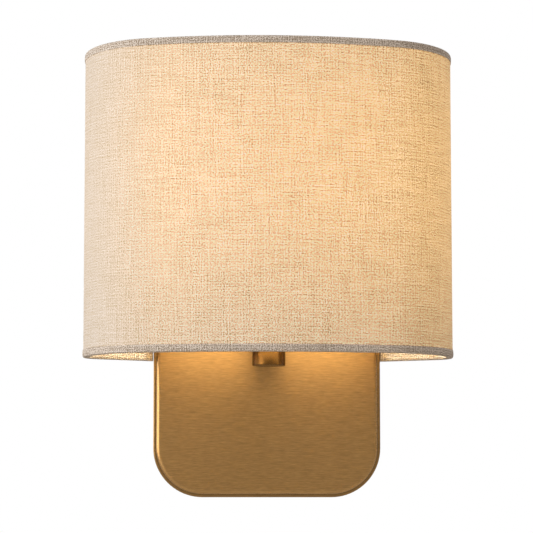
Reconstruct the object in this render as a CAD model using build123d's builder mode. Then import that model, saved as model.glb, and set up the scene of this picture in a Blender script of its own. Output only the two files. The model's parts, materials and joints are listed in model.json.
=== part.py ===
from build123d import *

import os
from math import atan2, cos, degrees, radians, sin, sqrt, tan

# Wall light with an oval fabric shade, open at its back, over a brass wall cover.
# Frame: the origin is on the wall, where the arm's axis meets it. +X right, +Y into the wall, +Z up, in mm.

# ---------------------------------------------------------------- driving dimensions
# wall cover: a pressed pan with a raised, round-edged face inside a narrow lip
plate_width = 150.0
plate_height = 204.0
plate_depth = 22.0
plate_corner = 32.5
plate_sheet = 1.2
lip_width = 2.0
lip_round = 0.8
face_round = 2.6
face_foot = 0.4

# wall strap behind the cover, with an ear at each end
strap_width = 25.0
strap_sheet = 2.0
strap_bend = 3.0
ear_reach = 14.0
ear_screw_depth = 8.0
slot_spacing = 120.0
slot_length = 24.0
slot_width = 5.0

# small screws: headless ones through the cover's ends, and the earth screw
screw_thread = 4.0
grub_length = 6.0
grub_inset = 0.2
screw_head = 7.5
screw_head_height = 2.4
drive_slot_width = 1.0
drive_slot_depth = 1.0
earth_screw_height = -25.0
lug_sheet = 0.8
lug_barrel = 3.0
lug_barrel_length = 6.0

# terminal block on the strap
block_width = 28.0
block_height = 17.0
block_depth = 14.0
block_centre_height = 34.5
pole_spacing = 8.0
pole_bore = 3.2
pole_screw = 3.0
pole_screw_length = 4.0
pole_tower = 5.6
pole_tower_height = 2.5
block_corner = 0.8

# arm from the cover to the cup
arm_reach = 30.0
arm_diameter = 13.0
arm_spigot = 10.0
arm_bore = 7.0
arm_spigot_length = 9.0
washer_diameter = 18.0
washer_sheet = 1.0
nut_flats = 14.0
nut_height = 3.0

# socket cup, closed by a lid that carries a threaded nipple
cup_diameter = 21.5
cup_wall = 1.2
cup_floor = 1.5
cup_below = 17.5
cup_above = 20.0
cup_edge = 0.5
lid_sheet = 2.0
lid_spigot = 2.0
nipple_diameter = 10.0
nipple_bore = 7.0
nipple_below = 8.0
nipple_above = 5.0

# lampholder
base_diameter = 26.0
base_height = 14.0
base_wall = 2.0
base_floor = 3.0
core_height = 8.0
core_wall = 1.0
terminal_bore = 2.4
terminal_depth = 6.0
terminal_reach = 5.5
flange_diameter = 37.0
flange_height = 2.0
flange_rise = 2.5
thread_diameter = 28.0
thread_height = 17.5
thread_pitch = 2.5
thread_depth = 0.6
mouth_diameter = 24.0
mouth_height = 8.0
mouth_edge = 1.0
shell_bore = 14.6
shell_sheet = 0.5
shell_height = 16.0
shell_lip = 1.5
contact_width = 4.0
contact_sheet = 0.4
contact_rise = 1.9
contact_reach = 4.0

# bulb: a slim tubular lamp with a small screw cap
cap_diameter = 13.9
cap_thread_height = 12.0
cap_skirt_diameter = 16.8
cap_skirt_height = 7.0
cap_sheet = 0.4
cap_pitch = 2.82
cap_groove = 0.65
cap_insulator_height = 2.4
cap_contact_diameter = 5.0
cap_contact_height = 1.2
glass_diameter = 26.0
glass_wall = 0.8
glass_neck = 15.0
glass_seat = 1.8
glass_neck_height = 6.0
glass_length = 92.0
glass_shoulder = 9.0
glass_bend = 4.0
stem_flare = 1.0
stem_height = 15.0
stem_rod = 2.4
stem_tip = 4.0
filament_length = 58.0
filament_diameter = 1.8
filament_count = 4
filament_circle = 12.0
filament_rise = 18.0
filament_wire = 0.8

# shade plan: a shallow front arc, round sides, then straight returns to the cover's sides
shade_width = 240.0
shade_front = 65.0
shade_height = 199.0
side_radius = 56.0
back_radius = 14.0
return_slope = 27.0
axis_to_widest = 10.0
fabric_sheet = 0.8
liner_sheet = 0.6
hem_height = 4.8
hem_sheet = 0.4
end_hem_width = 6.0
frame_wire = 2.5
fitter_drop = 52.5
fitter_bore = 29.0
fitter_diameter = 40.0
fitter_sheet = 1.5

# ring that holds the shade down
ring_diameter = 37.0
ring_height = 8.0
ring_edge = 0.8
grip_count = 24
grip_diameter = 2.0

lead_diameter = 1.8
lead_spacing = 2.8
lead_bend = 5.5

# clearances
fit = 0.05  # fixed pieces that slide together
running = 0.3  # pieces on different bodies
shade_gap = 0.5  # shade's ends beside the cover
ear_gap = 0.3  # strap's ears inside the cover

# ---------------------------------------------------------------- derived places
face_step = face_round + face_foot
lip_depth = plate_depth - face_step
panel_inner = plate_depth - plate_sheet
strap_half = plate_height / 2 - plate_sheet - ear_gap
holder_y = -(plate_depth + arm_reach)
widest_y = holder_y + axis_to_widest

cup_radius = cup_diameter / 2
cup_inner = cup_radius - cup_wall
lid_top = cup_above + lid_sheet
nipple_bottom = cup_above - nipple_below
nipple_top = lid_top + nipple_above
base_top = lid_top + base_height
core_top = base_top + core_height
flange_bottom = base_top + flange_rise
flange_top = flange_bottom + flange_height
thread_top = flange_top + thread_height
holder_top = thread_top + mouth_height
shell_bottom = core_top
shell_top = shell_bottom + shell_height
shell_radius = shell_bore / 2 + shell_sheet
core_radius = base_diameter / 2 - core_wall
shell_lip_top = shell_bottom + shell_sheet
mouth_bore = cap_skirt_diameter + 2 * running + 2 * fit

contact_top = core_top + contact_rise + contact_sheet
bulb_base = contact_top + running
cap_bottom = bulb_base + cap_contact_height + cap_insulator_height
cap_step = cap_bottom + cap_thread_height
cap_top = cap_step + cap_skirt_height
glass_bottom = cap_step + glass_seat
glass_top = glass_bottom + glass_length
filament_bottom = cap_top + filament_rise
filament_top = filament_bottom + filament_length

shade_bottom = flange_top - fitter_drop
shade_top = shade_bottom + shade_height
shade_side = shade_width / 2
hem_end = plate_width / 2 + shade_gap
shade_end = hem_end + hem_sheet
wire_radius = frame_wire / 2
wire_end = shade_end + wire_radius
strut_place = wire_end + wire_radius
liner_outer = fabric_sheet + fit
liner_inner = liner_outer + liner_sheet
wire_inset = liner_inner + fit + wire_radius
hem_inner = wire_inset + wire_radius + fit
wire_bottom = shade_bottom + hem_sheet + fit + wire_radius
wire_top = shade_top - hem_sheet - fit - wire_radius

ring_bottom = flange_top + fitter_sheet
ring_bore = thread_diameter + 2 * running

holder_axis = Axis((0, holder_y, 0), (0, 0, 1))
holder_side = Plane(origin=(0, holder_y, 0), x_dir=(1, 0, 0), z_dir=(0, -1, 0))


# ---------------------------------------------------------------- shared outlines
def turned(*points):
    """Profile beside the holder's axis, from its (radius, height) corners, to be revolved."""
    with BuildSketch(holder_side) as profile:
        with BuildLine():
            Polyline(*points, close=True)
        make_face()
    return profile.sketch


def holder_level(height):
    """Level plane centred on the holder's axis."""
    return Plane((0, holder_y, height))


def shade_half(inset, end):
    """Right half of the shade's plan, from the front's middle to where its return reaches x = end."""
    side_x = shade_side - side_radius
    front_radius = (side_x**2 + shade_front**2 - side_radius**2) / (2 * (shade_front - side_radius))
    front_turn = degrees(atan2(side_x, front_radius - shade_front))
    with BuildLine() as half:
        CenterArc((0, widest_y - shade_front + front_radius), front_radius - inset, -90, front_turn)
        CenterArc((side_x, widest_y), side_radius - inset, front_turn - 90, 90 - front_turn)
        back = CenterArc((shade_side - back_radius, widest_y), back_radius - inset, 0, 90 - return_slope)
        bend_end = back @ 1
        Line(bend_end, (end, bend_end.Y + (bend_end.X - end) * tan(radians(return_slope))))
    return half.line


def shade_band(outer_inset, inner_inset, end, height):
    """Plan of a layer between two insets from the fabric's outer face, open at the back, at a height."""
    with BuildSketch(Plane.XY.offset(height)) as band:
        with BuildLine():
            outer = shade_half(outer_inset, end).edges()
            inner = shade_half(inner_inset, end).edges()
            add(outer)
            add(inner)
            Line(outer[0] @ 0, inner[0] @ 0)
            Line(outer[-1] @ 1, inner[-1] @ 1)
        make_face()
        mirror(about=Plane.YZ)
    return band.sketch


def wire_point(end):
    """Point of the frame wire's line on the return, at x = end."""
    return shade_half(wire_inset, end).edges()[-1] @ 1


def rod(start, end, diameter):
    """Straight round rod between two points."""
    along = Vector(end) - Vector(start)
    with BuildPart() as bar:
        with BuildSketch(Plane(origin=start, z_dir=along)):
            Circle(diameter / 2)
        extrude(amount=along.length)
    return bar.part


def hexagon(flats, plane):
    """Nut outline across its flats."""
    with BuildSketch(plane) as outline:
        RegularPolygon(radius=flats / 2, side_count=6, major_radius=False)
    return outline.sketch


def lead(*corners, bends):
    """Round lead along straight runs joined by arcs."""
    with BuildPart() as wire:
        with BuildLine() as route:
            FilletPolyline(*corners, radius=bends)
        with BuildSketch(Plane(origin=route.line @ 0, z_dir=route.line % 0)):
            Circle(lead_diameter / 2)
        sweep()
    return wire.part


def write(piece, name):
    """Labels a finished piece and writes it under its name."""
    piece.label = name
    export_step(piece, f"parts/{name}.step")


os.makedirs("parts", exist_ok=True)

# ---------------------------------------------------------------- wall cover and strap
with BuildPart() as wall_plate:
    with BuildSketch(Plane.XZ):
        RectangleRounded(plate_width, plate_height, plate_corner)
    extrude(amount=lip_depth)
    fillet(wall_plate.faces().sort_by(Axis.Y)[0].edges(), lip_round)
    with BuildSketch(Plane.XZ.offset(lip_depth)):
        RectangleRounded(
            plate_width - 2 * lip_width, plate_height - 2 * lip_width, plate_corner - lip_width
        )
    extrude(amount=face_step)
    fillet(wall_plate.faces().sort_by(Axis.Y)[0].edges(), face_round)
    with BuildSketch(Plane.XZ):
        RectangleRounded(
            plate_width - 2 * plate_sheet, plate_height - 2 * plate_sheet, plate_corner - plate_sheet
        )
    extrude(amount=lip_depth - plate_sheet, mode=Mode.SUBTRACT)
    hollow_inset = lip_width + plate_sheet
    with BuildSketch(Plane.XZ.offset(lip_depth - plate_sheet)):
        RectangleRounded(
            plate_width - 2 * hollow_inset, plate_height - 2 * hollow_inset, plate_corner - hollow_inset
        )
    extrude(amount=face_step, mode=Mode.SUBTRACT)
    hollow_end = wall_plate.faces().filter_by(Axis.Y).sort_by(Axis.Y)[1]
    fillet(hollow_end.edges(), face_round - plate_sheet)
    with BuildSketch(Plane.XZ):
        Circle(arm_spigot / 2 + fit)
    extrude(amount=plate_depth, mode=Mode.SUBTRACT)
    with BuildSketch():
        with Locations((0, -ear_screw_depth)):
            Circle(screw_thread / 2 + running)
    extrude(amount=plate_height, both=True, mode=Mode.SUBTRACT)
write(wall_plate.part, "wall_plate")

with BuildPart() as wall_bracket:
    with BuildSketch(Plane.YZ):
        with BuildLine():
            strap_back = -strap_sheet / 2
            strap_end = strap_half - strap_sheet / 2
            FilletPolyline(
                (-ear_reach, strap_end),
                (strap_back, strap_end),
                (strap_back, -strap_end),
                (-ear_reach, -strap_end),
                radius=strap_bend,
            )
        trace(line_width=strap_sheet)
    extrude(amount=strap_width / 2, both=True)
    with BuildSketch(Plane.XZ):
        with Locations((0, slot_spacing / 2), (0, -slot_spacing / 2)):
            SlotOverall(slot_length, slot_width, rotation=90)
        with Locations((0, earth_screw_height)):
            Circle(screw_thread / 2 + fit)
    extrude(amount=strap_sheet, mode=Mode.SUBTRACT)
    with BuildSketch():
        with Locations((0, -ear_screw_depth)):
            Circle(screw_thread / 2 + fit)
    extrude(amount=plate_height, both=True, mode=Mode.SUBTRACT)
write(wall_bracket.part, "wall_bracket")


def grub_screw(outer_end, inward):
    """Headless slotted screw from its outer end into the strap's ear."""
    with BuildPart() as screw:
        with BuildSketch(Plane((0, -ear_screw_depth, outer_end))):
            Circle(screw_thread / 2)
        extrude(amount=inward * grub_length)
        with BuildSketch(Plane((0, -ear_screw_depth, outer_end))):
            Rectangle(screw_thread, drive_slot_width)
        extrude(amount=inward * drive_slot_depth, mode=Mode.SUBTRACT)
    return screw.part


with BuildPart() as plate_screws:
    add(grub_screw(plate_height / 2 - grub_inset, -1))
    add(grub_screw(grub_inset - plate_height / 2, 1))
write(plate_screws.part, "plate_screws")

with BuildPart() as earth_screw:
    head_seat = strap_sheet + lug_sheet
    with BuildSketch(Plane.XZ.offset(head_seat)):
        with Locations((0, earth_screw_height)):
            Circle(screw_head / 2)
    extrude(amount=screw_head_height)
    with BuildSketch(Plane.XZ.offset(head_seat)):
        with Locations((0, earth_screw_height)):
            Circle(screw_thread / 2)
    extrude(amount=-head_seat)
    with BuildSketch(Plane.XZ.offset(head_seat + screw_head_height)):
        with Locations((0, earth_screw_height)):
            Rectangle(screw_head, drive_slot_width)
    extrude(amount=-drive_slot_depth, mode=Mode.SUBTRACT)
write(earth_screw.part, "earth_screw")


# ---------------------------------------------------------------- wiring inside the cover
block_front = strap_sheet + block_depth
block_bottom = block_centre_height - block_height / 2
pole_depth = strap_sheet + block_depth / 2
poles = [-pole_spacing, 0, pole_spacing]
tower_rows = [block_centre_height - block_height / 4, block_centre_height + block_height / 4]
pole_screw_places = [(x, z) for x in poles for z in tower_rows]

with BuildPart() as terminal_block:
    with BuildSketch(Plane.XZ.offset(strap_sheet)):
        with Locations((0, block_centre_height)):
            Rectangle(block_width, block_height)
    extrude(amount=block_depth - pole_tower_height)
    fillet(terminal_block.edges().filter_by(Axis.Y), block_corner)
    with BuildSketch(Plane.XZ.offset(block_front - pole_tower_height)):
        with Locations(*pole_screw_places):
            Circle(pole_tower / 2)
    extrude(amount=pole_tower_height)
    with BuildSketch(Plane.XZ.offset(block_front)):
        with Locations(*pole_screw_places):
            Circle(pole_screw / 2 + fit)
    extrude(amount=-(block_depth / 2), mode=Mode.SUBTRACT)
    with BuildSketch(Plane.XY.offset(block_bottom)):
        with Locations(*[(x, -pole_depth) for x in poles]):
            Circle(pole_bore / 2)
    extrude(amount=block_height, mode=Mode.SUBTRACT)
write(terminal_block.part, "terminal_block")

with BuildPart() as terminal_screws:
    with BuildSketch(Plane.XZ.offset(pole_depth + lead_diameter / 2 + fit)):
        with Locations(*pole_screw_places):
            Circle(pole_screw / 2)
    extrude(amount=pole_screw_length)
    with BuildSketch(Plane.XZ.offset(pole_depth + lead_diameter / 2 + fit + pole_screw_length)):
        with Locations(*pole_screw_places):
            Rectangle(pole_screw, drive_slot_width / 2)
    extrude(amount=-drive_slot_depth / 2, mode=Mode.SUBTRACT)
write(terminal_screws.part, "terminal_screws")

lead_side = lead_spacing / 2
lead_start = block_bottom + block_height / 3
lead_top = base_top + terminal_depth - running
strap_clear_y = -(strap_sheet + lead_diameter + 2 * running)
barrel_y = -(strap_sheet + lug_barrel / 2)
barrel_bottom = earth_screw_height + screw_head / 2 + running
barrel_top = barrel_bottom + lug_barrel_length


def lamp_lead(side, pole):
    """Lead from the terminal block through the arm, cup and nipple to the lampholder's terminal."""
    return lead(
        (pole, -pole_depth, lead_start),
        (pole, -pole_depth, block_bottom - lead_bend),
        (side * lead_side, strap_clear_y, 0),
        (side * lead_side, holder_y, 0),
        (side * lead_side, holder_y, nipple_top),
        (side * terminal_reach, holder_y, base_top - lead_bend / 2),
        (side * terminal_reach, holder_y, lead_top),
        bends=lead_bend,
    )


live_lead = lamp_lead(-1, poles[0])
write(live_lead, "live_lead")
neutral_lead = lamp_lead(1, poles[1])
write(neutral_lead, "neutral_lead")

with BuildPart() as earth_lug:
    with BuildSketch(Plane.XZ.offset(strap_sheet)):
        with Locations((0, earth_screw_height)):
            Circle(screw_head / 2)
        with Locations((0, (earth_screw_height + barrel_bottom) / 2)):
            Rectangle(lug_barrel, barrel_bottom - earth_screw_height + 2 * lug_sheet)
        with Locations((0, earth_screw_height)):
            Circle(screw_thread / 2 + fit, mode=Mode.SUBTRACT)
    extrude(amount=lug_sheet)
    with BuildSketch(Plane.XY.offset(barrel_bottom)):
        with Locations((0, barrel_y)):
            Circle(lug_barrel / 2)
    extrude(amount=lug_barrel_length)
    with BuildSketch(Plane.XY.offset(barrel_top)):
        with Locations((0, barrel_y)):
            Circle(lead_diameter / 2 + fit)
    extrude(amount=-(lug_barrel_length - lug_sheet), mode=Mode.SUBTRACT)
write(earth_lug.part, "earth_lug")

earth_lead = lead(
    (0, barrel_y, barrel_bottom + 2 * lug_sheet),
    (0, barrel_y, barrel_top + lead_diameter),
    (poles[2], strap_clear_y, block_bottom - 3 * lead_bend),
    (poles[2], -pole_depth, block_bottom - lead_bend / 2),
    (poles[2], -pole_depth, lead_start),
    bends=lead_bend,
)
write(earth_lead, "earth_lead")

# ---------------------------------------------------------------- arm and cup
arm_inner_end = plate_depth - arm_spigot_length
arm_outer_end = plate_depth + arm_reach - sqrt(cup_inner**2 - (arm_spigot / 2) ** 2)

with BuildPart() as arm_tube:
    with BuildSketch(Plane.XZ.offset(plate_depth)):
        Circle(arm_diameter / 2)
    extrude(amount=arm_reach)
    with BuildSketch(holder_level(-arm_diameter)):
        Circle(cup_radius + fit)
    extrude(amount=2 * arm_diameter, mode=Mode.SUBTRACT)
    with BuildSketch(Plane.XZ.offset(arm_inner_end)):
        Circle(arm_spigot / 2)
    extrude(amount=arm_outer_end - arm_inner_end)
    with BuildSketch(Plane.XZ.offset(arm_inner_end)):
        Circle(arm_bore / 2)
    extrude(amount=arm_outer_end - arm_inner_end, mode=Mode.SUBTRACT)
write(arm_tube.part, "arm_tube")

with BuildPart() as arm_washer:
    with BuildSketch(Plane.XZ.offset(panel_inner)):
        Circle(washer_diameter / 2)
        Circle(arm_spigot / 2 + fit, mode=Mode.SUBTRACT)
    extrude(amount=-washer_sheet)
write(arm_washer.part, "arm_washer")

with BuildPart() as arm_locknut:
    nut_seat = Plane.XZ.offset(panel_inner - washer_sheet)
    extrude(hexagon(nut_flats, nut_seat), amount=-nut_height)
    with BuildSketch(nut_seat):
        Circle(arm_spigot / 2 + fit)
    extrude(amount=-nut_height, mode=Mode.SUBTRACT)
write(arm_locknut.part, "arm_locknut")

with BuildPart() as socket_cup:
    revolve(
        turned(
            (0, -cup_below),
            (cup_radius, -cup_below),
            (cup_radius, cup_above),
            (cup_inner, cup_above),
            (cup_inner, cup_floor - cup_below),
            (0, cup_floor - cup_below),
        ),
        axis=holder_axis,
    )
    fillet(socket_cup.faces().sort_by(Axis.Z)[0].edges(), cup_edge)
    with BuildSketch(Plane.XZ.offset(plate_depth)):
        Circle(arm_spigot / 2 + fit)
    extrude(amount=arm_reach, mode=Mode.SUBTRACT)
write(socket_cup.part, "socket_cup")

with BuildPart() as cup_lid:
    revolve(
        turned(
            (nipple_diameter / 2 + fit, lid_top),
            (cup_radius, lid_top),
            (cup_radius, cup_above),
            (cup_inner - fit, cup_above),
            (cup_inner - fit, cup_above - lid_spigot),
            (nipple_diameter / 2 + fit, cup_above - lid_spigot),
        ),
        axis=holder_axis,
    )
write(cup_lid.part, "cup_lid")

with BuildPart() as threaded_nipple:
    with BuildSketch(holder_level(nipple_bottom)):
        Circle(nipple_diameter / 2)
        Circle(nipple_bore / 2, mode=Mode.SUBTRACT)
    extrude(amount=nipple_top - nipple_bottom)
write(threaded_nipple.part, "threaded_nipple")

with BuildPart() as nipple_locknut:
    nut_level = holder_level(cup_above - lid_spigot - nut_height)
    extrude(hexagon(nut_flats, nut_level), amount=nut_height)
    with BuildSketch(nut_level):
        Circle(nipple_diameter / 2 + fit)
    extrude(amount=nut_height, mode=Mode.SUBTRACT)
write(nipple_locknut.part, "nipple_locknut")

# ---------------------------------------------------------------- lampholder
with BuildPart() as holder_base:
    base_inner = base_diameter / 2 - base_wall
    revolve(
        turned(
            (nipple_diameter / 2 + fit, lid_top),
            (base_diameter / 2, lid_top),
            (base_diameter / 2, base_top),
            (base_inner, base_top),
            (base_inner, lid_top + base_floor),
            (nipple_diameter / 2 + fit, lid_top + base_floor),
        ),
        axis=holder_axis,
    )
write(holder_base.part, "holder_base")

with BuildPart() as holder_core:
    with BuildSketch(holder_level(base_top)):
        Circle(core_radius - fit)
    extrude(amount=core_height)
    with BuildSketch(holder_level(base_top)):
        with Locations((-terminal_reach, 0), (terminal_reach, 0)):
            Circle(terminal_bore / 2)
    extrude(amount=terminal_depth, mode=Mode.SUBTRACT)
write(holder_core.part, "holder_core")

# the lampholder's thread, as rings: crest and root radii at each pitch
thread_crest = thread_diameter / 2
thread_root = thread_crest - thread_depth
thread_turns = int(thread_height / thread_pitch)
thread_rings = []
for number in range(thread_turns):
    ring_foot = flange_top + number * thread_pitch
    thread_rings.append((thread_crest, ring_foot + thread_pitch / 4))
    thread_rings.append((thread_crest, ring_foot + thread_pitch / 2))
    thread_rings.append((thread_root, ring_foot + thread_pitch * 3 / 4))

with BuildPart() as holder_body:
    revolve(
        turned(
            (core_radius, base_top),
            (base_diameter / 2, base_top),
            (base_diameter / 2, flange_bottom),
            (flange_diameter / 2, flange_bottom),
            (flange_diameter / 2, flange_top),
            (thread_root, flange_top),
            *thread_rings,
            (thread_root, thread_top),
            (mouth_diameter / 2, thread_top),
            (mouth_diameter / 2, holder_top - mouth_edge),
            (mouth_diameter / 2 - mouth_edge, holder_top),
            (mouth_bore / 2, holder_top),
            (mouth_bore / 2, shell_top),
            (shell_radius + fit, shell_top),
            (shell_radius + fit, shell_lip_top),
            (core_radius, shell_lip_top),
        ),
        axis=holder_axis,
    )
write(holder_body.part, "holder_body")

with BuildPart() as screw_shell:
    revolve(
        turned(
            (shell_bore / 2, shell_bottom),
            (shell_radius + shell_lip, shell_bottom),
            (shell_radius + shell_lip, shell_lip_top),
            (shell_radius, shell_lip_top),
            (shell_radius, shell_top),
            (shell_bore / 2, shell_top),
        ),
        axis=holder_axis,
    )
write(screw_shell.part, "screw_shell")

with BuildPart() as centre_contact:
    with BuildSketch(holder_side):
        with BuildLine():
            strip_low = core_top + contact_sheet / 2
            FilletPolyline(
                (-contact_reach, strip_low),
                (-contact_reach / 2, strip_low),
                (0, strip_low + contact_rise),
                (contact_reach / 2, strip_low),
                (contact_reach, strip_low),
                radius=contact_sheet,
            )
        trace(line_width=contact_sheet)
    extrude(amount=contact_width / 2, both=True)
write(centre_contact.part, "centre_contact")

# ---------------------------------------------------------------- bulb
contact_radius = cap_contact_diameter / 2
cap_radius = cap_diameter / 2
cap_root = cap_radius - cap_groove
cap_inner = cap_root - cap_sheet
skirt_radius = cap_skirt_diameter / 2
insulator_bottom = bulb_base + cap_contact_height
cap_turns = int(cap_thread_height / cap_pitch)
cap_rings = []
for number in range(cap_turns):
    ring_foot = cap_bottom + number * cap_pitch
    cap_rings.append((cap_root, ring_foot))
    cap_rings.append((cap_radius, ring_foot + cap_pitch / 3))
    cap_rings.append((cap_radius, ring_foot + cap_pitch * 2 / 3))

with BuildPart() as bulb_contact:
    revolve(
        turned(
            (0, bulb_base),
            (contact_radius - cap_contact_height / 2, bulb_base),
            (contact_radius, bulb_base + cap_contact_height / 2),
            (contact_radius, insulator_bottom),
            (0, insulator_bottom),
        ),
        axis=holder_axis,
    )
write(bulb_contact.part, "bulb_contact")

with BuildPart() as bulb_insulator:
    revolve(
        turned(
            (0, insulator_bottom),
            (contact_radius, insulator_bottom),
            (cap_root, cap_bottom),
            (0, cap_bottom),
        ),
        axis=holder_axis,
    )
write(bulb_insulator.part, "bulb_insulator")

with BuildPart() as bulb_cap:
    skirt_rise = skirt_radius - cap_radius
    revolve(
        turned(
            (cap_inner, cap_bottom),
            *cap_rings,
            (cap_root, cap_step),
            (cap_radius, cap_step),
            (skirt_radius, cap_step + skirt_rise),
            (skirt_radius, cap_top),
            (skirt_radius - cap_sheet, cap_top),
            (skirt_radius - cap_sheet, cap_step + skirt_rise + cap_sheet),
            (cap_inner, cap_step + cap_sheet),
        ),
        axis=holder_axis,
    )
write(bulb_cap.part, "bulb_cap")


def glass_outline(inset):
    """Half section of the bulb's envelope, inset from its outer face and open at its neck."""
    neck = glass_neck / 2 - inset
    side = glass_diameter / 2 - inset
    shoulder = glass_bottom + glass_neck_height
    dome = glass_top - glass_diameter / 2
    with BuildSketch(holder_side) as outline:
        with BuildLine():
            FilletPolyline(
                (neck, glass_bottom),
                (neck, shoulder),
                (side, shoulder + glass_shoulder),
                (side, dome),
                radius=glass_bend,
            )
            CenterArc((0, dome), side, 0, 90)
            Polyline((0, dome + side), (0, glass_bottom), (neck, glass_bottom))
        make_face()
    return outline.sketch


with BuildPart() as bulb_glass:
    revolve(glass_outline(0), axis=holder_axis)
    revolve(glass_outline(glass_wall), axis=holder_axis, mode=Mode.SUBTRACT)
write(bulb_glass.part, "bulb_glass")

with BuildPart() as bulb_stem:
    stem_radius = glass_neck / 2 - glass_wall - fit
    stem_top = filament_top + stem_tip
    revolve(
        turned(
            (0, glass_bottom),
            (stem_radius, glass_bottom),
            (stem_radius, glass_bottom + stem_flare),
            (stem_rod, glass_bottom + stem_height - stem_flare),
            (stem_rod / 2, glass_bottom + stem_height),
            (stem_rod / 2, stem_top),
            (0, stem_top),
        ),
        axis=holder_axis,
    )
write(bulb_stem.part, "bulb_stem")

with BuildPart() as led_filaments:
    with BuildSketch(holder_level(filament_bottom)):
        with PolarLocations(filament_circle / 2, filament_count):
            Circle(filament_diameter / 2)
    extrude(amount=filament_length)
write(led_filaments.part, "led_filaments")


def radial_wire(height, turn):
    """Support wire from the stem's rod out over the end of one filament."""
    along = Vector(cos(turn), sin(turn), 0)
    start = Vector(0, holder_y, height) + along * (stem_rod / 2)
    with BuildPart() as wire:
        with BuildSketch(Plane(origin=start, z_dir=along)):
            Circle(filament_wire / 2)
        extrude(amount=(filament_circle + filament_diameter - stem_rod) / 2)
    return wire.part


with BuildPart() as filament_wires:
    for number in range(filament_count):
        turn = radians(360 * number / filament_count)
        add(radial_wire(filament_top + filament_wire / 2, turn))
        add(radial_wire(filament_bottom - filament_wire / 2, turn))
write(filament_wires.part, "filament_wires")

# ---------------------------------------------------------------- shade
with BuildPart() as shade_fabric:
    fabric_foot = shade_bottom + hem_sheet
    extrude(
        shade_band(0, fabric_sheet, shade_end, fabric_foot),
        amount=shade_height - 2 * hem_sheet,
    )
write(shade_fabric.part, "shade_fabric")

with BuildPart() as shade_liner:
    extrude(
        shade_band(liner_outer, liner_inner, shade_end, fabric_foot),
        amount=shade_height - 2 * hem_sheet,
    )
write(shade_liner.part, "shade_liner")


def frame_loop(height):
    """Wire inside a hem, from one return to the other."""
    with BuildLine() as route:
        add(shade_half(wire_inset, wire_end).edges())
        mirror(about=Plane.YZ)
    path = route.line.wires()[0].moved(Location((0, 0, height)))
    with BuildPart() as loop:
        with BuildSketch(Plane(origin=path @ 0, z_dir=path % 0)):
            Circle(wire_radius)
        sweep(path=path)
    return loop.part


bottom_wire = frame_loop(wire_bottom)
write(bottom_wire, "bottom_wire")
top_wire = frame_loop(wire_top)
write(top_wire, "top_wire")

# each fitter arm runs straight from the ring's edge to the bottom wire, left, right and in front
side_wire_x = shade_side - side_radius + sqrt((side_radius - wire_inset) ** 2 - axis_to_widest**2)
front_wire_y = widest_y - shade_front + wire_inset
fitter_level = flange_top + fitter_sheet / 2
arm_feet = [
    Vector(-side_wire_x, holder_y, wire_bottom),
    Vector(side_wire_x, holder_y, wire_bottom),
    Vector(0, front_wire_y, wire_bottom),
]


def fitter_arm(foot, diameter):
    """Arm from the fitter ring's edge to its foot on the bottom wire's line."""
    hub = Vector(0, holder_y, fitter_level)
    level_way = (Vector(foot.X, foot.Y, fitter_level) - hub).normalized()
    edge_point = hub + level_way * (fitter_diameter / 2)
    along = (foot - edge_point).normalized()
    return rod(edge_point + along * wire_radius, foot, diameter)


with BuildPart() as fitter_arms:
    for foot in arm_feet:
        add(fitter_arm(foot, frame_wire))
    add(bottom_wire, mode=Mode.SUBTRACT)
write(fitter_arms.part, "fitter_arms")


def hem_shell(height):
    """Plan of a hem's outside, closed over the shade's ends."""
    return shade_band(-fit - hem_sheet, hem_inner + hem_sheet, hem_end, height)


def hem_channel(height):
    """Plan of the space that a hem folds round: fabric, liner and wire."""
    return shade_band(-fit, hem_inner, shade_end, height)


back_wire_y = wire_point(wire_end).Y

with BuildPart() as bottom_hem:
    extrude(hem_shell(shade_bottom), amount=hem_height)
    extrude(hem_channel(shade_bottom + hem_sheet), amount=hem_height, mode=Mode.SUBTRACT)
    for foot in arm_feet:
        add(fitter_arm(foot, frame_wire + 2 * running), mode=Mode.SUBTRACT)
write(bottom_hem.part, "bottom_hem")

with BuildPart() as top_hem:
    extrude(hem_shell(shade_top), amount=-hem_height)
    extrude(hem_channel(shade_top - hem_sheet), amount=-hem_height, mode=Mode.SUBTRACT)
    with BuildSketch(Plane.YZ):
        with Locations((back_wire_y, wire_top)):
            Circle(wire_radius + fit)
    extrude(amount=wire_end, both=True, mode=Mode.SUBTRACT)
write(top_hem.part, "top_hem")

with BuildPart() as end_hems:
    end_foot = shade_bottom + hem_height
    end_height = shade_height - 2 * hem_height
    extrude(hem_shell(end_foot), amount=end_height)
    extrude(hem_channel(end_foot), amount=end_height, mode=Mode.SUBTRACT)
    with BuildSketch(Plane.XY.offset(end_foot)):
        with Locations((0, widest_y / 2)):
            Rectangle(2 * (shade_end + end_hem_width), -widest_y)
    extrude(amount=end_height, mode=Mode.INTERSECT)
write(end_hems.part, "end_hems")


# the back wire joins the top wire's two cut ends
back_wire_end = wire_end - wire_radius * sin(radians(return_slope))
back_wire = rod((-back_wire_end, back_wire_y, wire_top), (back_wire_end, back_wire_y, wire_top), frame_wire)
write(back_wire, "back_wire")

with BuildPart() as end_struts:
    strut_y = wire_point(strut_place).Y
    with BuildSketch(Plane.XY.offset(wire_bottom + wire_radius)):
        with Locations((-strut_place, strut_y), (strut_place, strut_y)):
            Circle(wire_radius)
    extrude(amount=wire_top - wire_bottom - frame_wire)
write(end_struts.part, "end_struts")

with BuildPart() as fitter_ring:
    with BuildSketch(holder_level(flange_top)):
        Circle(fitter_diameter / 2)
        Circle(fitter_bore / 2, mode=Mode.SUBTRACT)
    extrude(amount=fitter_sheet)
write(fitter_ring.part, "fitter_ring")

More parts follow.
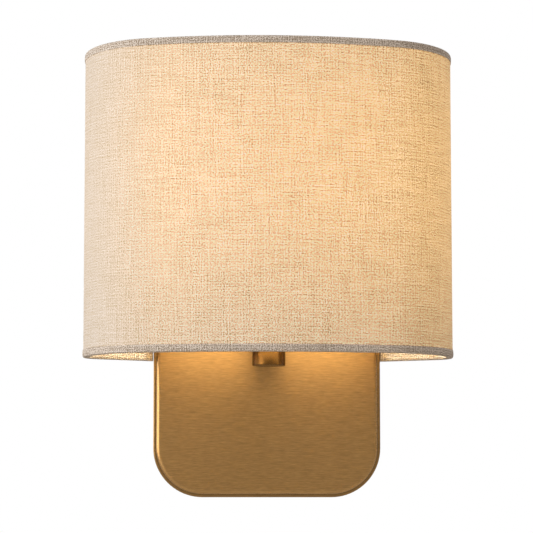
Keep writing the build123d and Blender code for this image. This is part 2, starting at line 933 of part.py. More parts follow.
with BuildPart() as shade_ring:
    with BuildSketch(holder_level(ring_bottom)):
        Circle(ring_diameter / 2)
        Circle(ring_bore / 2, mode=Mode.SUBTRACT)
    extrude(amount=ring_height)
    chamfer(shade_ring.edges().filter_by(GeomType.CIRCLE).sort_by(SortBy.RADIUS)[-2:], ring_edge)
    with BuildSketch(holder_level(ring_bottom)):
        with PolarLocations(ring_diameter / 2 + grip_diameter / 4, grip_count):
            Circle(grip_diameter / 2)
    extrude(amount=ring_height, mode=Mode.SUBTRACT)
write(shade_ring.part, "shade_ring")
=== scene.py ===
import json
from math import atan2, cos, hypot, pi, radians, sin, tan

import bpy
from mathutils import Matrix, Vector, noise


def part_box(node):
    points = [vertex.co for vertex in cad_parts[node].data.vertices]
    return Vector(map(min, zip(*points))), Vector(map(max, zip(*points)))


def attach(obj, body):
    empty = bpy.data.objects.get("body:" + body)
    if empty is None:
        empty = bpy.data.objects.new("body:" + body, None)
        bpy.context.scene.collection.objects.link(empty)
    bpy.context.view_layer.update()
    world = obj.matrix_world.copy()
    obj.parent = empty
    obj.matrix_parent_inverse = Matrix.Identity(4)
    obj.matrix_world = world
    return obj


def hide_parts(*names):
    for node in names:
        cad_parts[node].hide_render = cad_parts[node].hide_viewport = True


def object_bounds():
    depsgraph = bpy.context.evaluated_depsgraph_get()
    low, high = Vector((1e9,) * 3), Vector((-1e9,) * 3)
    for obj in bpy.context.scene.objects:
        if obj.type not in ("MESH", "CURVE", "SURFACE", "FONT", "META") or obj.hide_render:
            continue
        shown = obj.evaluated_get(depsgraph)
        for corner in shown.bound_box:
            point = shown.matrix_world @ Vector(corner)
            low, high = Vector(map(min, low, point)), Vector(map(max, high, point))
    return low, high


# Looks for a wall light: a lit oval linen shade over a brushed brass wall cover.
# Everything is in metres in the solids' frame: +X right, +Y into the wall, +Z up, origin on the wall.
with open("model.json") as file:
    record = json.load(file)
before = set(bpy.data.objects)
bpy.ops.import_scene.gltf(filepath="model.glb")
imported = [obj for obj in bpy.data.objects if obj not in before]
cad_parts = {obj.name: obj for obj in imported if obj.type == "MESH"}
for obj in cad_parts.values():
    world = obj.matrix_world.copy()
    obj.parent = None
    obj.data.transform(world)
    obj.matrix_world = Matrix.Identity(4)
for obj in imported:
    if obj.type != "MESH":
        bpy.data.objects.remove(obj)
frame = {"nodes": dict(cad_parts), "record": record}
nodes = frame["nodes"]
cad_low, cad_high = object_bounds()

MM = 0.001
WHITE = (1.0, 1.0, 1.0, 1.0)

# ---------------------------------------------------------------- places read from the frame
fabric_low, fabric_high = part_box("shade_fabric")
bulb_low, bulb_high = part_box("led_filaments")
plate_low, plate_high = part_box("wall_plate")
SHADE_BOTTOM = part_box("bottom_hem")[0].z
SHADE_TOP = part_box("top_hem")[1].z
HEM_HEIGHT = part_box("bottom_hem")[1].z - SHADE_BOTTOM
GLOW_CENTRE = (bulb_low + bulb_high) / 2

# the shade's plan, in the sizes of its solids
SHADE_SIDE = fabric_high.x
SHADE_FRONT = 65 * MM
SIDE_RADIUS = 56 * MM
BACK_RADIUS = 14 * MM
RETURN_SLOPE = radians(27)
WIDEST_Y = fabric_low.y + SHADE_FRONT
HEM_END = plate_high.x + 0.5 * MM
TAPE = 0.4 * MM
FIT = 0.05 * MM
FABRIC = 0.8 * MM
LINER = 0.6 * MM
HEM_INNER = 4.05 * MM
END_TAPE_WIDTH = 6.4 * MM
FABRIC_END = HEM_END + TAPE
HEM_MIDDLE = (HEM_INNER - FIT) / 2
HEM_HALF_WIDTH = (HEM_INNER + FIT) / 2
FACE_Y = plate_low.y

# how finely the pieces are drawn
FRONT_STEPS = 40
SIDE_STEPS = 36
BACK_STEPS = 12
RETURN_STEPS = 16
SKIN_ROWS = 64
HEM_POINTS = 33
END_TAPE_POINTS = 25
END_TAPE_ROWS = 60
SHARP_ANGLE = radians(50)

# how uneven the cloth and its tapes are
LINEN_WAVE = 0.12 * MM
WAVE_SIZE = 22 * MM
TAPE_RIPPLE = 0.10 * MM
HEM_BULGE = 0.16 * MM
END_BULGE = 0.12 * MM
ROLL_SQUARENESS = 0.36


# ---------------------------------------------------------------- shapes
def plan(inset, end):
    """Points of the shade's plan, from its left end to its right one.

    They are inset from the fabric's face, and stop at x = end on each side."""
    side_x = SHADE_SIDE - SIDE_RADIUS
    front_radius = (side_x**2 + SHADE_FRONT**2 - SIDE_RADIUS**2) / (2 * (SHADE_FRONT - SIDE_RADIUS))
    front_turn = atan2(side_x, front_radius - SHADE_FRONT)
    front_centre = WIDEST_Y - SHADE_FRONT + front_radius
    right = []
    for step in range(FRONT_STEPS):
        angle = front_turn * step / FRONT_STEPS
        reach = front_radius - inset
        right.append((reach * sin(angle), front_centre - reach * cos(angle)))
    for step in range(SIDE_STEPS):
        angle = front_turn + (pi / 2 - front_turn) * step / SIDE_STEPS
        reach = SIDE_RADIUS - inset
        right.append((side_x + reach * sin(angle), WIDEST_Y - reach * cos(angle)))
    for step in range(BACK_STEPS):
        angle = (pi / 2 - RETURN_SLOPE) * step / BACK_STEPS
        reach = BACK_RADIUS - inset
        right.append((SHADE_SIDE - BACK_RADIUS + reach * cos(angle), WIDEST_Y + reach * sin(angle)))
    bend_x, bend_y = return_start(inset)
    for step in range(RETURN_STEPS + 1):
        x = bend_x + (end - bend_x) * step / RETURN_STEPS
        right.append((x, bend_y + (bend_x - x) * tan(RETURN_SLOPE)))
    return [(-x, y) for x, y in reversed(right[1:])] + right


def return_start(inset):
    """Point where the straight return begins, on the right."""
    reach = BACK_RADIUS - inset
    angle = pi / 2 - RETURN_SLOPE
    return SHADE_SIDE - BACK_RADIUS + reach * cos(angle), WIDEST_Y + reach * sin(angle)


def return_y(inset, x):
    """Where the return lies at x, on the right."""
    bend_x, bend_y = return_start(inset)
    return bend_y + (bend_x - x) * tan(RETURN_SLOPE)


def lengths(points):
    """Length along a plan to each of its points, from the middle one."""
    run = [0.0]
    for a, b in zip(points, points[1:]):
        run.append(run[-1] + hypot(b[0] - a[0], b[1] - a[1]))
    middle = run[len(run) // 2]
    return [r - middle for r in run]


def thin_form(name, sections, cloth):
    """Closed thin piece through its sections.

    Each section is an outer chain and an inner chain of as many points. cloth holds the
    place of each chain point on the flat cloth, for the weave."""
    count = len(sections[0][0])
    vertices, places, faces = [], [], []
    for (outer, inner), flat in zip(sections, cloth):
        vertices += list(outer) + list(reversed(inner))
        places += list(flat) + list(reversed(flat))
    ring = 2 * count
    for row in range(len(sections) - 1):
        for k in range(ring):
            a, b = row * ring + k, row * ring + (k + 1) % ring
            faces.append((a, b, b + ring, a + ring))
    last = (len(sections) - 1) * ring
    for k in range(count - 1):
        near, far = k, ring - 1 - k
        faces.append((near, far, far - 1, near + 1))
        faces.append((last + near, last + near + 1, last + far - 1, last + far))
    mesh = bpy.data.meshes.new(name)
    mesh.from_pydata(vertices, [], faces)
    mesh.attributes.new("cloth", "FLOAT_VECTOR", "POINT").data.foreach_set(
        "vector", [value for place in places for value in place]
    )
    mesh.polygons.foreach_set("use_smooth", [True] * len(mesh.polygons))
    mesh.set_sharp_from_angle(angle=SHARP_ANGLE)
    mesh.update()
    piece = bpy.data.objects.new(name, mesh)
    bpy.context.scene.collection.objects.link(piece)
    return piece


def unevenness(u, v, size, seed):
    """Smooth value from -1 to 1 that changes over about one size of cloth."""
    return noise.noise(Vector((u / size, v / size, seed)))


def skin(name, outer_inset, inner_inset, wave):
    """One layer of the shade's wall, between its hems' folds."""
    low, high = SHADE_BOTTOM + TAPE, SHADE_TOP - TAPE
    run = lengths(plan(0, FABRIC_END))
    outer_plan = plan(outer_inset, FABRIC_END)
    inner_plan = plan(inner_inset, FABRIC_END)
    proud_plan = plan(outer_inset - wave, FABRIC_END)
    sections, cloth = [], []
    for i, u in enumerate(run):
        outer, inner, flat = [], [], []
        for row in range(SKIN_ROWS + 1):
            z = low + (high - low) * row / SKIN_ROWS
            lift = 0.5 + 0.5 * unevenness(u, z * 0.6, WAVE_SIZE, seed=3.7)
            (x0, y0), (x1, y1) = outer_plan[i], proud_plan[i]
            outer.append((x0 + (x1 - x0) * lift, y0 + (y1 - y0) * lift, z))
            inner.append((*inner_plan[i], z))
            flat.append((u, z, 0.0))
        sections.append((outer, inner))
        cloth.append(flat)
    return thin_form(name, sections, cloth)


def rolled(half_width, depth, bulge, count):
    """Profile of a rolled edge, from its outer lip to its inner one.

    Each point is its offset from the middle, outwards below 0, and its height above the foot."""
    points = []
    for k in range(count):
        angle = pi * k / (count - 1)
        across = -half_width * abs(cos(angle)) ** ROLL_SQUARENESS * (1 if angle < pi / 2 else -1)
        height = depth * (1 - sin(angle) ** ROLL_SQUARENESS)
        points.append((across - bulge * sin(pi * height / depth) * (1 if across < 0 else 0), height))
    return points


def hem(name, edge, way):
    """Rolled tape over one edge of the shade. way is 1 at the bottom edge and -1 at the top."""
    outer_profile = rolled(HEM_HALF_WIDTH + TAPE, HEM_HEIGHT, HEM_BULGE, HEM_POINTS)
    inner_profile = rolled(HEM_HALF_WIDTH, HEM_HEIGHT - TAPE, 0.0, HEM_POINTS)
    run = lengths(plan(0, HEM_END))
    outer_plans = [plan(HEM_MIDDLE + across, HEM_END) for across, height in outer_profile]
    inner_plans = [plan(HEM_MIDDLE + across, FABRIC_END) for across, height in inner_profile]
    strip = [0.0]
    for a, b in zip(outer_profile, outer_profile[1:]):
        strip.append(strip[-1] + hypot(b[0] - a[0], b[1] - a[1]))
    sections, cloth = [], []
    for i, u in enumerate(run):
        ripple = TAPE_RIPPLE * unevenness(u, 0, 9 * MM, seed=11.3 + way)
        outer, inner, flat = [], [], []
        for k in range(HEM_POINTS):
            x, y = outer_plans[k][i]
            height = outer_profile[k][1]
            outer.append((x, y, edge + way * height + ripple * height / HEM_HEIGHT))
            x, y = inner_plans[k][i]
            inner.append((x, y, edge + way * (TAPE + inner_profile[k][1])))
            flat.append((u, way * (HEM_HEIGHT - strip[k]), 1.0))
        sections.append((outer, inner))
        cloth.append(flat)
    return thin_form(name, sections, cloth)


def end_tape(name, side):
    """Upright tape folded round one end of the shade, from hem to hem.

    side is 1 on the right and -1 on the left."""
    low, high = SHADE_BOTTOM + HEM_HEIGHT, SHADE_TOP - HEM_HEIGHT
    outer_profile = rolled(HEM_HALF_WIDTH + TAPE, END_TAPE_WIDTH, END_BULGE, END_TAPE_POINTS)
    inner_profile = rolled(HEM_HALF_WIDTH, END_TAPE_WIDTH - TAPE, 0.0, END_TAPE_POINTS)
    sections, cloth = [], []
    for row in range(END_TAPE_ROWS + 1):
        z = low + (high - low) * row / END_TAPE_ROWS
        ripple = TAPE_RIPPLE * unevenness(z, 0, 11 * MM, seed=5.9 + side)
        outer, inner, flat = [], [], []
        strip = 0.0
        for k in range(END_TAPE_POINTS):
            across, reach = outer_profile[k]
            x = HEM_END + reach + ripple * reach / END_TAPE_WIDTH
            outer.append((side * x, return_y(HEM_MIDDLE + across, x), z))
            if k:
                strip += hypot(across - outer_profile[k - 1][0], reach - outer_profile[k - 1][1])
            flat.append((strip, z, 1.0))
            across, reach = inner_profile[k]
            x = FABRIC_END + reach
            inner.append((side * x, return_y(HEM_MIDDLE + across, x), z))
        sections.append((outer, inner))
        cloth.append(flat)
    return thin_form(name, sections, cloth)


linen_skin = skin("linen_skin", 0.0, FABRIC, LINEN_WAVE)
lining = skin("lining", FABRIC + FIT, FABRIC + FIT + LINER, 0.0)
top_tape = hem("top_tape", SHADE_TOP, -1)
bottom_tape = hem("bottom_tape", SHADE_BOTTOM, 1)
end_tapes = [end_tape("end_tape_right", 1), end_tape("end_tape_left", -1)]


# ---------------------------------------------------------------- materials
class NodeTree:
    """A node tree under construction."""

    def __init__(self, tree):
        self.tree = tree

    def put(self, socket, value):
        """Gives a socket a number, a colour, or another node's output."""
        if isinstance(value, bpy.types.NodeSocket):
            self.tree.links.new(value, socket)
        else:
            socket.default_value = value

    def node(self, kind, *values, **options):
        """New node with its first inputs filled in order. None leaves one as it is."""
        new = self.tree.nodes.new("ShaderNode" + kind)
        for option, value in options.items():
            setattr(new, option, value)
        for socket, value in zip(new.inputs, values):
            if value is not None:
                self.put(socket, value)
        return new

    def maths(self, operation, a, b=None, c=None):
        return self.node("Math", a, b, c, operation=operation).outputs[0]


class Look(NodeTree):
    """A material under construction, with short calls that add nodes and return their output sockets."""

    def __init__(self, name, **settings):
        self.material = bpy.data.materials.new(name)
        self.material.use_nodes = True
        super().__init__(self.material.node_tree)
        self.shader = next(n for n in self.tree.nodes if n.type == "BSDF_PRINCIPLED")
        self.set(**settings)

    def set(self, **settings):
        """Sets sockets of the shader, by their names with _ for each space."""
        for name, value in settings.items():
            self.put(self.shader.inputs[name.replace("_", " ")], value)

    def ramp(self, value, low, high, to_low=0.0, to_high=1.0):
        """Smooth step of a value from one range to another."""
        mapped = self.node("MapRange", value, low, high, to_low, to_high, interpolation_type="SMOOTHSTEP")
        return mapped.outputs[0]

    def place(self):
        return self.node("TexCoord").outputs["Object"]

    def cloth(self):
        return self.node("Attribute", attribute_name="cloth").outputs["Vector"]

    def parts(self, vector):
        return self.node("SeparateXYZ", vector).outputs

    def stretched(self, vector, x, y, z=1.0, shift=0.0):
        """Vector scaled by each axis and moved, so that one grain isn't another's copy."""
        scaled = self.node("VectorMath", vector, (x, y, z), operation="MULTIPLY").outputs[0]
        return self.node("VectorMath", scaled, (shift, shift, shift), operation="ADD").outputs[0]

    def grain(self, vector, scale=1.0, detail=2.0, roughness=0.5):
        """Noise from 0 to 1 about one half."""
        texture = self.node("TexNoise")
        settings = {"Vector": vector, "Scale": scale, "Detail": detail, "Roughness": roughness}
        for name, value in settings.items():
            self.put(texture.inputs[name], value)
        return texture.outputs[0]

    def about(self, value, size, centre=0.5, base=1.0):
        """base plus size times what value is over its centre."""
        return self.maths("MULTIPLY_ADD", self.maths("SUBTRACT", value, centre), size, base)

    def tint(self, colour, factor):
        """Colour times a factor."""
        return self.node("VectorMath", colour, factor, operation="MULTIPLY").outputs[0]

    def mix(self, factor, a, b):
        mixer = self.node("Mix", data_type="RGBA")
        for socket, value in ((mixer.inputs[0], factor), (mixer.inputs[6], a), (mixer.inputs[7], b)):
            self.put(socket, value)
        return mixer.outputs[2]

    def bump(self, height, distance, strength=1.0):
        bump = self.node("Bump")
        for name, value in {"Height": height, "Distance": distance, "Strength": strength}.items():
            self.put(bump.inputs[name], value)
        return bump.outputs[0]


# the weave: threads wander slowly along their run, slubs are long and lean a little,
# and speckle is the fuzz of the thread
THREAD_PITCH = 1.75 * MM
TAPE_PITCH = 1.6 * MM
WANDER_ALONG = 60.0
WANDER_ACROSS = 200.0
SLUBS_PER_PITCH = 2.0
SLUB_LEAN = 0.61
SLUB_RUN = 42.0
SPECKLE_FINENESS = (2.7, 2.2)

# what each part adds to the weave, and the mean that it is taken about
WARP = (0.25, 0.64)
WEFT = (0.20, 0.64)
GAPS = (-0.45, 0.13)
SLUB = (1.1, 0.5)
SPECKLE = (5.2, 0.5)
THREAD_RELIEF = 0.25 * MM

# colours of the cloths, in the gaps between threads and on the threads
LINEN_GAPS = (0.55, 0.40, 0.19, 1.0)
LINEN_THREADS = (0.93, 0.915, 0.94, 1.0)
TAPE_GAPS = (0.38, 0.27, 0.17, 1.0)
TAPE_THREADS = (1.0, 0.93, 0.84, 1.0)
LINING_GAPS = (0.55, 0.42, 0.21, 1.0)
LINING_THREADS = (0.68, 0.55, 0.31, 1.0)

# the bulb's light that comes through the linen, weaker at the left, where daylight washes it out
GLOW_COLOUR = (1.0, 0.54, 0.13)
GLOW_HEIGHT = GLOW_CENTRE.z - 6 * MM
GLOW_SPREAD = 160 * MM
GLOW_STRENGTH = 0.57
GLOW_ON_THREADS = 1.2
TAPE_GLOW_COLOUR = (1.0, 0.62, 0.36)
TAPE_GLOW_STRENGTH = 0.09
TAPE_GLOW_ON_THREADS = 0.8

# painted light across the shade, from left to right: the weave fainter at the left, where the window light
# washes it, and the glow weaker at the left and stronger at the right. For each, where it starts and ends,
# and its values before and after
WEAVE_CONTRAST = (-130 * MM, 0, 0.33, 0.70)
GLOW_WASHED = (-118 * MM, -60 * MM, 0.30, 1.0)
GLOW_SIDE = (-80 * MM, 100 * MM, 0.84, 1.12)

# painted shade on the cover's lip, darker than its face: how deep the change starts and ends, and its
# values
LIP_SHADE = (FACE_Y + 1.6 * MM, FACE_Y + 2.8 * MM, 1.0, 0.72)
# and its roughness, by how squarely a place faces the front: smooth on the rounds, brushed on the face
BRUSHED_ROUGHNESS = (0.80, 0.97, 0.28, 0.41)


def weave(look, pitch):
    """Slubbed plain weave over the flat cloth: a value about one half, low in the gaps between threads."""
    cloth = look.cloth()
    u, v = look.parts(cloth)[:2]
    waves = []
    for place, fine_u, fine_v, shift in (
        (u, WANDER_ACROSS, WANDER_ALONG, 0.0),
        (v, WANDER_ALONG, WANDER_ACROSS, 13.0),
    ):
        wander = look.grain(look.stretched(cloth, fine_u, fine_v, shift=shift), detail=1.0)
        wander = look.about(wander, 1.0, base=0.0)
        turn = look.maths("MULTIPLY_ADD", place, pi / pitch, look.maths("MULTIPLY", wander, pi))
        waves.append(look.maths("ABSOLUTE", look.maths("SINE", turn)))
    warp, weft = waves
    gaps = look.maths("MULTIPLY", look.maths("SUBTRACT", 1.0, warp), look.maths("SUBTRACT", 1.0, weft))
    slubs = []
    for across, along, shift in ((u, v, 7.0), (v, u, 17.0)):
        thread = look.maths("MULTIPLY", across, SLUBS_PER_PITCH / pitch)
        run = look.maths("MULTIPLY_ADD", thread, SLUB_LEAN, look.maths("MULTIPLY", along, SLUB_RUN))
        slubs.append(look.grain(look.node("CombineXYZ", thread, run, shift).outputs[0], detail=1.0))
    fine_u, fine_v = (fineness / pitch for fineness in SPECKLE_FINENESS)
    speckle = look.grain(look.stretched(cloth, fine_u, fine_v, shift=5.0), detail=1.0)
    value = 0.5
    for part, (size, centre) in (
        (warp, WARP), (weft, WEFT), (gaps, GAPS), (slubs[0], SLUB), (slubs[1], SLUB), (speckle, SPECKLE),
    ):
        value = look.maths("ADD", look.about(part, size, centre=centre, base=0.0), value)
    return value


def linen():
    """Lit linen: the cloth's own colour, and the bulb's warm light coming through it."""
    look = Look("linen", Roughness=0.92, Specular_IOR_Level=0.2, Sheen_Weight=0.15, Sheen_Roughness=0.5)
    x, y, z = look.parts(look.node("NewGeometry").outputs["Position"])[:3]
    # painted light: the weave's contrast and the glow both change with x, fainter and weaker at the left
    contrast = look.ramp(x, *WEAVE_CONTRAST)
    threads = look.about(weave(look, THREAD_PITCH), contrast, base=0.48)
    rise = look.maths("DIVIDE", look.maths("SUBTRACT", z, GLOW_HEIGHT), GLOW_SPREAD)
    fading = look.maths("EXPONENT", look.maths("MULTIPLY", look.maths("MULTIPLY", rise, rise), -1.0))
    washed = look.ramp(x, *GLOW_WASHED)
    side = look.ramp(x, *GLOW_SIDE)
    amount = look.maths("MULTIPLY", look.maths("MULTIPLY", fading, washed), side)
    amount = look.maths("MULTIPLY", amount, look.about(threads, GLOW_ON_THREADS))
    look.set(
        Base_Color=look.mix(threads, LINEN_GAPS, LINEN_THREADS),
        Emission_Color=look.tint(GLOW_COLOUR, amount),
        Emission_Strength=GLOW_STRENGTH,
        Normal=look.bump(threads, THREAD_RELIEF, 0.8),
    )
    return look.material


def hem_tape():
    """The same linen folded double over the wire, so that little light comes through."""
    look = Look("hem_tape", Roughness=0.92, Specular_IOR_Level=0.2, Sheen_Weight=0.2, Sheen_Roughness=0.5)
    threads = weave(look, TAPE_PITCH)
    look.set(
        Base_Color=look.mix(threads, TAPE_GAPS, TAPE_THREADS),
        Emission_Color=look.tint(TAPE_GLOW_COLOUR, look.about(threads, TAPE_GLOW_ON_THREADS)),
        Emission_Strength=TAPE_GLOW_STRENGTH,
        Normal=look.bump(threads, THREAD_RELIEF, 0.8),
    )
    return look.material


def lining_sheet():
    """Laminated backing, through which the weave shows faintly."""
    look = Look("lining", Roughness=0.6, Specular_IOR_Level=0.3)
    threads = weave(look, THREAD_PITCH)
    colour = look.mix(threads, LINING_GAPS, LINING_THREADS)
    look.set(Base_Color=colour, Normal=look.bump(threads, 0.05 * MM, 0.5))
    return look.material


def shaded_turned_brass():
    """Brass turned smooth on a lathe, with faint rings round Z, painted much darker than the cover's brass
    as shade under the lampshade.
    """
    look = Look("shaded_turned_brass", Metallic=1.0)
    place = look.place()
    rings = look.grain(look.stretched(place, 30.0, 30.0, 2400.0), detail=2.0)
    patina = look.grain(look.stretched(place, 70.0, 70.0, 70.0, shift=3.0), detail=3.0)
    # painted shade: both colours are far darker than the cover's brass, for the cup in the lampshade's
    # shade
    colour = look.mix(patina, (0.095, 0.045, 0.011, 1.0), (0.120, 0.057, 0.015, 1.0))
    look.set(
        Base_Color=look.tint(colour, look.about(rings, 0.20)),
        Roughness=look.about(rings, 0.12, base=0.24),
        Normal=look.bump(rings, 0.01 * MM, 0.25),
    )
    return look.material


def brushed_brass():
    """Aged brass with fine brushing along X under a thin lacquer."""
    look = Look("brushed_brass", Metallic=1.0, Anisotropic=0.3)
    look.set(Tangent=look.node("Tangent", direction_type="RADIAL", axis="X").outputs[0])
    place = look.place()
    hair = look.grain(look.stretched(place, 260.0, 2900.0, 2900.0), detail=2.0, roughness=0.6)
    line = look.grain(look.stretched(place, 90.0, 1500.0, 1500.0, shift=9.0), detail=1.0)
    patina = look.grain(look.stretched(place, 18.0, 18.0, 18.0, shift=3.0), detail=3.0)
    shade = look.maths("MULTIPLY", look.about(line, 0.55), look.about(hair, 0.70))
    colour = look.mix(patina, (0.262, 0.145, 0.050, 1.0), (0.283, 0.158, 0.057, 1.0))
    deep = look.parts(place)[1]
    # painted shade: the lip and the cover's sides darker than its face
    lip = look.ramp(deep, *LIP_SHADE)
    facing = look.maths("ABSOLUTE", look.parts(look.node("TexCoord").outputs["Normal"])[1])
    roughness = look.ramp(facing, *BRUSHED_ROUGHNESS)
    look.set(
        Base_Color=look.tint(colour, look.maths("MULTIPLY", shade, lip)),
        Roughness=look.maths("MULTIPLY", look.about(hair, 0.4), roughness),
        Normal=look.bump(look.maths("ADD", hair, line), 0.05 * MM, 0.7),
    )
    return look.material


def metal(name, colour, roughness, streaks=(600.0, 600.0, 600.0), wear=0.12):
    """Plated or drawn metal with a fine grain."""
    look = Look(name, Metallic=1.0)
    place = look.place()
    fine = look.grain(look.stretched(place, *streaks), detail=3.0)
    broad = look.grain(look.stretched(place, 60.0, 60.0, 60.0, shift=4.0), detail=2.0)
    shade = look.maths("MULTIPLY", look.about(fine, wear), look.about(broad, wear))
    look.set(
        Base_Color=look.tint(colour, shade),
        Roughness=look.about(fine, 0.2, base=roughness),
        Normal=look.bump(fine, 0.02 * MM, 0.4),
    )
    return look.material


def moulded(name, colour, roughness, texture=900.0):
    """Moulded plastic or powder coat with a fine skin texture and a slight unevenness of colour."""
    look = Look(name, Specular_IOR_Level=0.5)
    place = look.place()
    fine = look.grain(look.stretched(place, texture, texture, texture), detail=2.0)
    broad = look.grain(look.stretched(place, 45.0, 45.0, 45.0, shift=6.0), detail=2.0)
    look.set(
        Base_Color=look.tint(colour, look.about(broad, 0.10)),
        Roughness=look.about(fine, 0.15, base=roughness),
        Normal=look.bump(fine, 0.03 * MM, 0.5),
    )
    return look.material


def striped_sleeve():
    """Green and yellow sleeve of the earth lead, striped along its run."""
    look = Look("earth_sleeve", Roughness=0.45)
    x, y, z = look.parts(look.place())[:3]
    slant = look.maths("MULTIPLY_ADD", z, 0.35, look.maths("ADD", x, y))
    band = look.ramp(look.maths("SINE", look.maths("MULTIPLY", slant, 2600.0)), -0.15, 0.15)
    look.set(Base_Color=look.mix(band, (0.06, 0.30, 0.05, 1.0), (0.85, 0.62, 0.05, 1.0)))
    return look.material


def clear_glass(name, tone):
    """Clear glass with faint drawn streaks."""
    look = Look(name, IOR=1.45, Transmission_Weight=1.0)
    streaks = look.grain(look.stretched(look.place(), 60.0, 60.0, 12.0), detail=2.0)
    look.set(
        Base_Color=look.tint(tone, look.about(streaks, 0.02)),
        Roughness=look.about(streaks, 0.02, base=0.01),
    )
    return look.material


def glowing_filament():
    """Phosphor strip with its row of chips showing as brighter beads."""
    look = Look("filament", Roughness=0.4)
    z = look.parts(look.place())[2]
    beads = look.about(look.maths("SINE", look.maths("MULTIPLY", z, 2400.0)), 0.10, centre=0.0)
    look.set(
        Base_Color=(1.0, 0.80, 0.42, 1.0),
        Emission_Color=look.tint((1.0, 0.66, 0.30), beads),
        Emission_Strength=4.0,
    )
    return look.material


SLOT_LOOKS = {
    "brass": brushed_brass(),
    "zinc_steel": metal("zinc_steel", (0.62, 0.63, 0.64), 0.36, (240.0, 900.0, 240.0)),
    "block_plastic": moulded("block_plastic", (0.80, 0.79, 0.75), 0.45),
    "live_sleeve": moulded("live_sleeve", (0.20, 0.075, 0.03), 0.42),
    "neutral_sleeve": moulded("neutral_sleeve", (0.03, 0.12, 0.42), 0.42),
    "earth_sleeve": striped_sleeve(),
    "holder_plastic": moulded("holder_plastic", (0.82, 0.79, 0.71), 0.38),
    "contact_brass": metal("contact_brass", (0.70, 0.50, 0.22), 0.30),
    "cap_nickel": metal("cap_nickel", (0.66, 0.65, 0.61), 0.28, (300.0, 300.0, 1500.0)),
    "cap_insulator": moulded("cap_insulator", (0.012, 0.012, 0.016), 0.12, 300.0),
    "bulb_glass": clear_glass("bulb_glass", (0.98, 0.98, 0.97)),
    "stem_glass": clear_glass("stem_glass", (0.96, 0.97, 0.96)),
    "filament": glowing_filament(),
    "filament_wire": metal("filament_wire", (0.55, 0.54, 0.50), 0.30),
    "frame_white": moulded("frame_white", (0.84, 0.82, 0.76), 0.42, 1400.0),
    "liner": lining_sheet(),
    "linen": linen(),
    "hem_tape": hem_tape(),
}

for subpart in frame["record"]["subparts"]:
    node = nodes[subpart["node"]]
    node.data.materials.clear()
    node.data.materials.append(SLOT_LOOKS[subpart["material_slot"]])

# the cup, its lid and the arm get the brass with painted shade
shaded_turned_look = shaded_turned_brass()
for name in ("socket_cup", "cup_lid", "arm_tube"):
    nodes[name].data.materials[0] = shaded_turned_look

for piece, slot, replaced in (
    (linen_skin, "linen", "shade_fabric"),
    (lining, "liner", "shade_liner"),
    (top_tape, "hem_tape", "top_hem"),
    (bottom_tape, "hem_tape", "bottom_hem"),
    (end_tapes[0], "hem_tape", "end_hems"),
    (end_tapes[1], "hem_tape", "end_hems"),
):
    piece.data.materials.append(SLOT_LOOKS[slot])
    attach(piece, "shade")
    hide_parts(replaced)

# the bulb's own glass lets its light out
for name in ("bulb_glass", "bulb_stem", "led_filaments", "filament_wires"):
    nodes[name].visible_shadow = False


# ---------------------------------------------------------------- lights, floor and world
KEY_PLACE = (-1.35, -0.85, 0.32)
KEY_SIZE = 0.9
KEY_WATTS = 15.6
KEY_COLOUR = (1.0, 0.98, 0.975)
BULB_COLOUR = (1.0, 0.93, 0.76)
BULB_RADIUS = 7 * MM
BULB_END = 10 * MM
LIT_LINING_COLOUR = (1.0, 0.90, 0.66)
LIT_LINING_WIDTH = 136 * MM
LIT_LINING_HEIGHT = 82 * MM
LIT_LINING_DEPTH = 23 * MM
LIT_LINING_WATTS = 0.118
FLOOR_DROP = 0.32
FLOOR_REACH = 6.0
FLOOR_COLOUR = (0.42, 0.42, 0.41, 1.0)
FLOOR_SEEN = 0.86
WORLD_LIGHT = 0.36
MIRROR_FRONT = 0.66
MIRROR_RIGHT = 1.0
MIRROR_LEFT = 5.0


def aimed(thing, place, target):
    """Puts a light at a place, pointing at a target."""
    thing.location = place
    thing.rotation_euler = (Vector(target) - Vector(place)).to_track_quat("-Z", "Y").to_euler()
    bpy.context.scene.collection.objects.link(thing)


def key_light():
    """Large soft light from the left, as from a window."""
    lamp = bpy.data.lights.new("key_light", "AREA")
    lamp.size, lamp.energy, lamp.color = KEY_SIZE, KEY_WATTS, KEY_COLOUR
    aimed(bpy.data.objects.new("key_light", lamp), KEY_PLACE, (cad_low + cad_high) / 2)


def bulb_glow(name, height, watts):
    """Warm light from one stretch of the filaments."""
    lamp = bpy.data.lights.new(name, "POINT")
    lamp.energy, lamp.color, lamp.shadow_soft_size = watts, BULB_COLOUR, BULB_RADIUS
    source = bpy.data.objects.new(name, lamp)
    source.location = (GLOW_CENTRE.x, GLOW_CENTRE.y, height)
    source.visible_camera = source.visible_transmission = False
    bpy.context.scene.collection.objects.link(source)


def lit_lining():
    """The lit lining inside the shade's front, as the brass below it mirrors it."""
    lamp = bpy.data.lights.new("lit_lining", "AREA")
    lamp.shape, lamp.size, lamp.size_y = "RECTANGLE", LIT_LINING_WIDTH, LIT_LINING_HEIGHT
    lamp.energy, lamp.color = LIT_LINING_WATTS, LIT_LINING_COLOUR
    source = bpy.data.objects.new("lit_lining", lamp)
    place = Vector((0, fabric_low.y + LIT_LINING_DEPTH, SHADE_BOTTOM + LIT_LINING_HEIGHT / 2))
    aimed(source, place, place + Vector((0, 1, 0)))
    source.visible_camera = source.visible_transmission = source.visible_diffuse = False


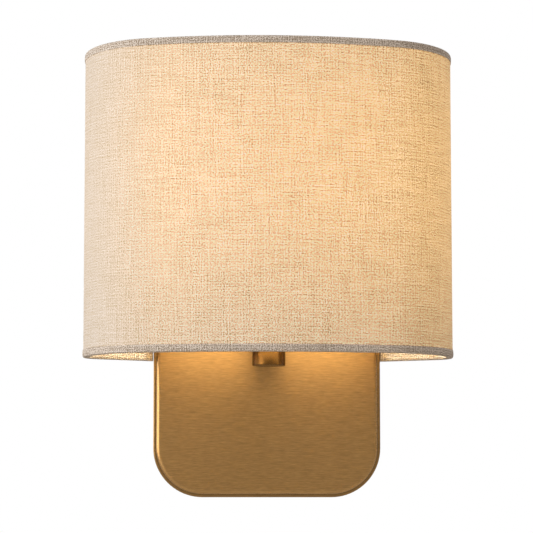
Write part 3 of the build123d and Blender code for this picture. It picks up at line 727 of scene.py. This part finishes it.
def pale_floor():
    """Pale floor well under the lamp. Seen by the camera it comes out white but for its shadows."""
    bpy.ops.mesh.primitive_plane_add(size=2 * FLOOR_REACH, location=(0, 0, cad_low.z - FLOOR_DROP))
    floor = bpy.context.object
    floor.name = "floor"
    material = bpy.data.materials.new("floor")
    material.use_nodes = True
    material.node_tree.nodes.clear()
    surface = NodeTree(material.node_tree)
    path = surface.node("LightPath").outputs
    seen = surface.maths("MAXIMUM", path["Is Camera Ray"], path["Is Transmission Ray"])
    seen = surface.maths("MAXIMUM", seen, path["Is Glossy Ray"])
    diffuse = surface.node("BsdfDiffuse", FLOOR_COLOUR)
    emission = surface.node("Emission", WHITE, surface.maths("MULTIPLY", seen, FLOOR_SEEN))
    together = surface.node("AddShader", diffuse.outputs[0], emission.outputs[0])
    surface.node("OutputMaterial", together.outputs[0])
    floor.data.materials.append(material)


def white_world():
    """White behind the object, and a soft even light on it.

    Metal mirrors it a little dimmer in front than at its sides, and brightest at the left, as
    beside a window."""
    world = bpy.data.worlds.new("studio")
    bpy.context.scene.world = world
    world.use_nodes = True
    sky = NodeTree(world.node_tree)
    background = sky.tree.nodes["Background"]
    path = sky.node("LightPath").outputs
    across = sky.node("SeparateXYZ", sky.node("TexCoord").outputs["Generated"]).outputs["X"]
    mirrored = MIRROR_FRONT
    for way, side in ((1.0, MIRROR_RIGHT), (-1.0, MIRROR_LEFT)):
        towards = sky.maths("MAXIMUM", sky.maths("MULTIPLY", across, way), 0.0)
        share = sky.maths("MULTIPLY", towards, towards)
        mirrored = sky.maths("MULTIPLY_ADD", share, side - MIRROR_FRONT, mirrored)
    straight = sky.maths("MAXIMUM", path["Is Camera Ray"], path["Is Transmission Ray"])
    level = sky.maths("MULTIPLY_ADD", straight, 1.0 - WORLD_LIGHT, WORLD_LIGHT)
    mirrored = sky.maths("SUBTRACT", mirrored, WORLD_LIGHT)
    level = sky.maths("MULTIPLY_ADD", path["Is Glossy Ray"], mirrored, level)
    sky.put(background.inputs["Color"], WHITE)
    sky.put(background.inputs["Strength"], level)


key_light()
bulb_glow("bulb_glow_low", bulb_low.z + BULB_END, 0.5)
bulb_glow("bulb_glow_middle", GLOW_CENTRE.z, 0.5)
bulb_glow("bulb_glow_high", bulb_high.z - BULB_END, 0.4)
lit_lining()
pale_floor()
white_world()

# ---------------------------------------------------------------- camera
PHOTO_SIDE = 533
FOCAL_PIXELS = 2000
SENSOR = 36
LENS_SHIFT = 0.09
CAMERA_PLACE = (-0.046, -1.340, -0.10125)
CAMERA_RISE = 5.19
CAMERA_TURN = -1.98
lens_data = bpy.data.cameras.new("camera")
lens_data.sensor_width = SENSOR
lens_data.lens = SENSOR * FOCAL_PIXELS / PHOTO_SIDE
lens_data.shift_y = LENS_SHIFT
lens_data.clip_start, lens_data.clip_end = 0.05, 50
camera = bpy.data.objects.new("camera", lens_data)
camera.location = CAMERA_PLACE
camera.rotation_euler = (radians(90 + CAMERA_RISE), 0, radians(CAMERA_TURN))
bpy.context.scene.collection.objects.link(camera)
bpy.context.scene.camera = camera
bpy.context.scene.view_settings.view_transform = "Standard"
